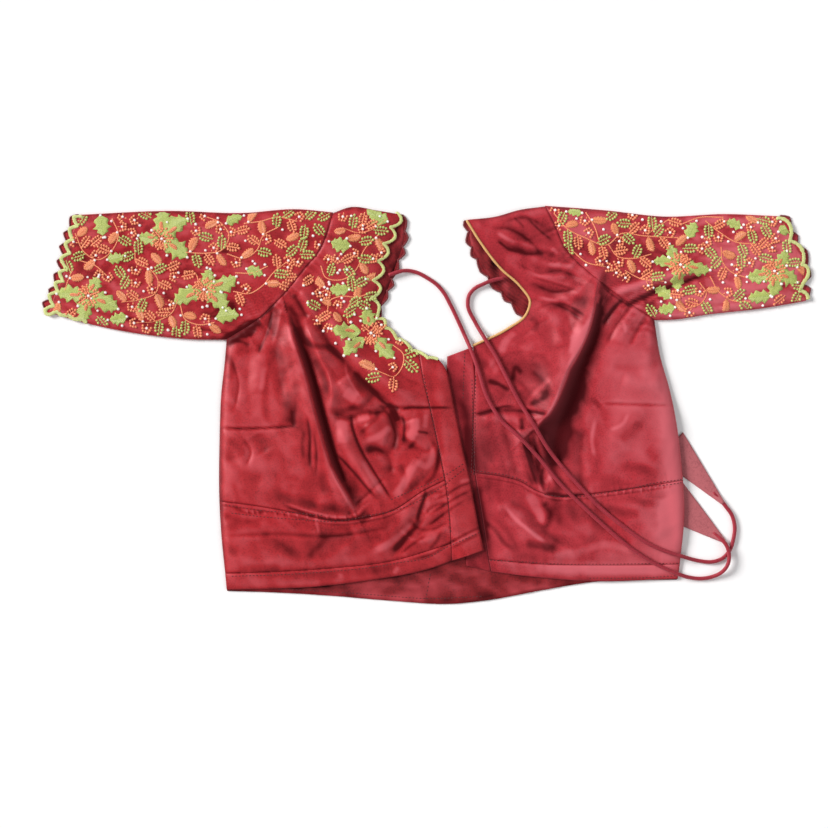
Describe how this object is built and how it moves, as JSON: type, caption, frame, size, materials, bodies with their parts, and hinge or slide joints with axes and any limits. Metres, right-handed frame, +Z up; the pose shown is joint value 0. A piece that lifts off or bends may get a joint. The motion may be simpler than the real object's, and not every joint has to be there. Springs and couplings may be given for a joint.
{
  "type": "choli blouse",
  "caption": "Short front-opening silk blouse laid flat, with embroidered elbow sleeves, darted bust, shaped waistband, scalloped edges, a piped neckline and tie cords with tassels.",
  "frame": {"origin": "on the surface it lies on, under the middle of the laid blouse's own box, cords and tassels left out", "axes": "+X to the wearer's left across both sleeves, +Y towards the neck, +Z up out of the front, away from the surface"},
  "size_m": [0.7392, 0.3858, 0.0188],
  "materials": {
    "silk": "satin",
    "silk_pink": "satin",
    "silk_dark": "satin",
    "edging_thread": "satin",
    "gold_piping": "satin",
    "cord_silk": "satin",
    "tassel_silk": "satin"
  },
  "bodies": {
    "root": {"back": "silk_dark", "cord_left": "cord_silk", "cord_right": "cord_silk", "cuff_edging_left": "edging_thread", "cuff_edging_right": "edging_thread", "front_left": "silk_pink", "front_right": "silk", "hem_left": "silk_pink", "hem_right": "silk", "neck_edging_back": "edging_thread", "neck_edging_front": "edging_thread", "neck_piping": "gold_piping", "placket_left": "silk_pink", "placket_right": "silk", "sleeve_left": "silk_pink", "sleeve_right": "silk", "tassel_left": "tassel_silk", "tassel_right": "tassel_silk", "waistband_left": "silk_pink", "waistband_right": "silk"}
  },
  "joints": []
}
